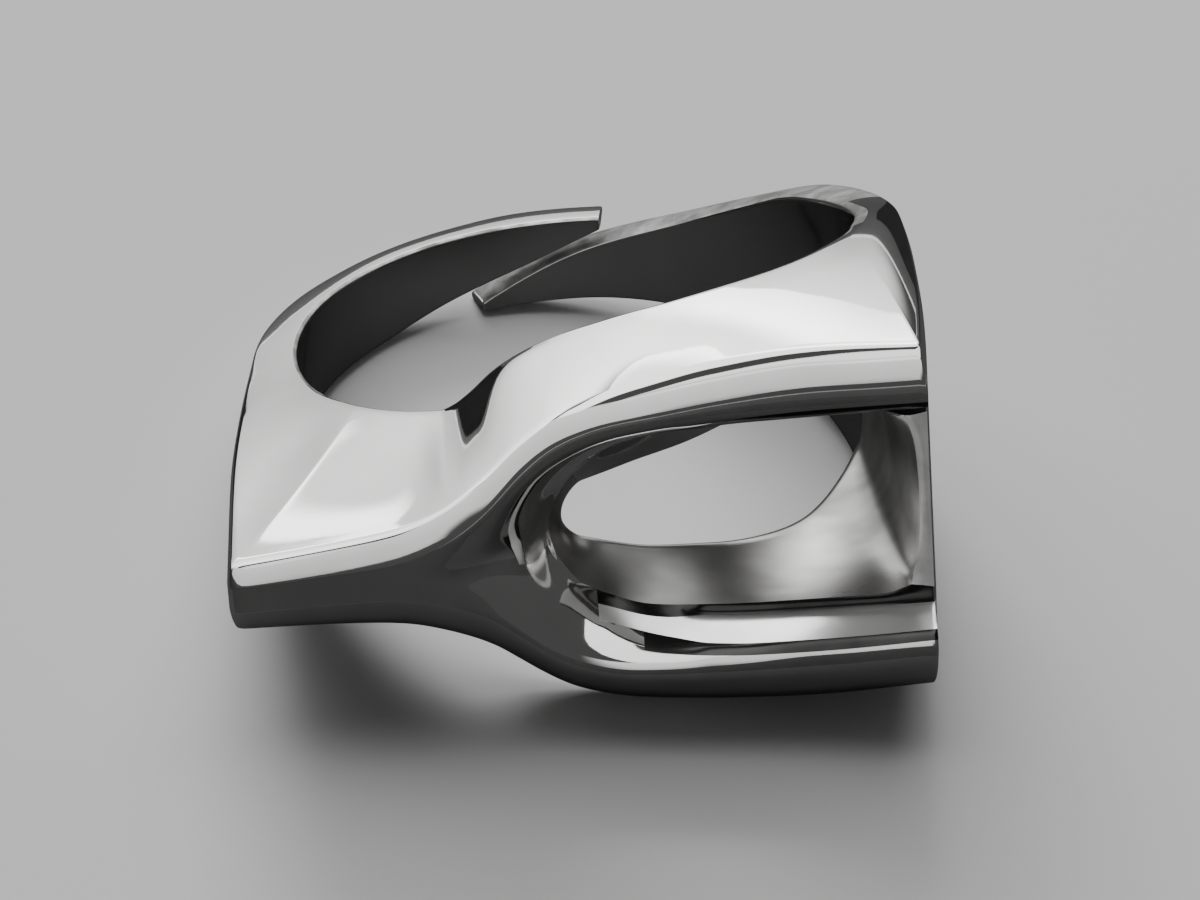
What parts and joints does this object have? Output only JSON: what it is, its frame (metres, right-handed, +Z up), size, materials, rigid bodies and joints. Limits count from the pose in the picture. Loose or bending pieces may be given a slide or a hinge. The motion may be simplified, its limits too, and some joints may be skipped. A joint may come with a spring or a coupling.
{
  "type": "adjustable ring",
  "caption": "Polished silver band ring, cut open at the back, whose front forks into two bars round a scooped window.",
  "frame": {"origin": "on the floor, under the middle of the resting ring's box", "axes": "+Z up, +X to the right along the forked front, -Y towards the front of the ring; the hole's axis leans 16 degrees"},
  "size_m": [0.0224, 0.0242, 0.0137],
  "materials": {
    "silver": "polished cast silver, rough cut rims at the back of the hole"
  },
  "bodies": {
    "root": {"ring_band": "silver"}
  },
  "joints": []
}
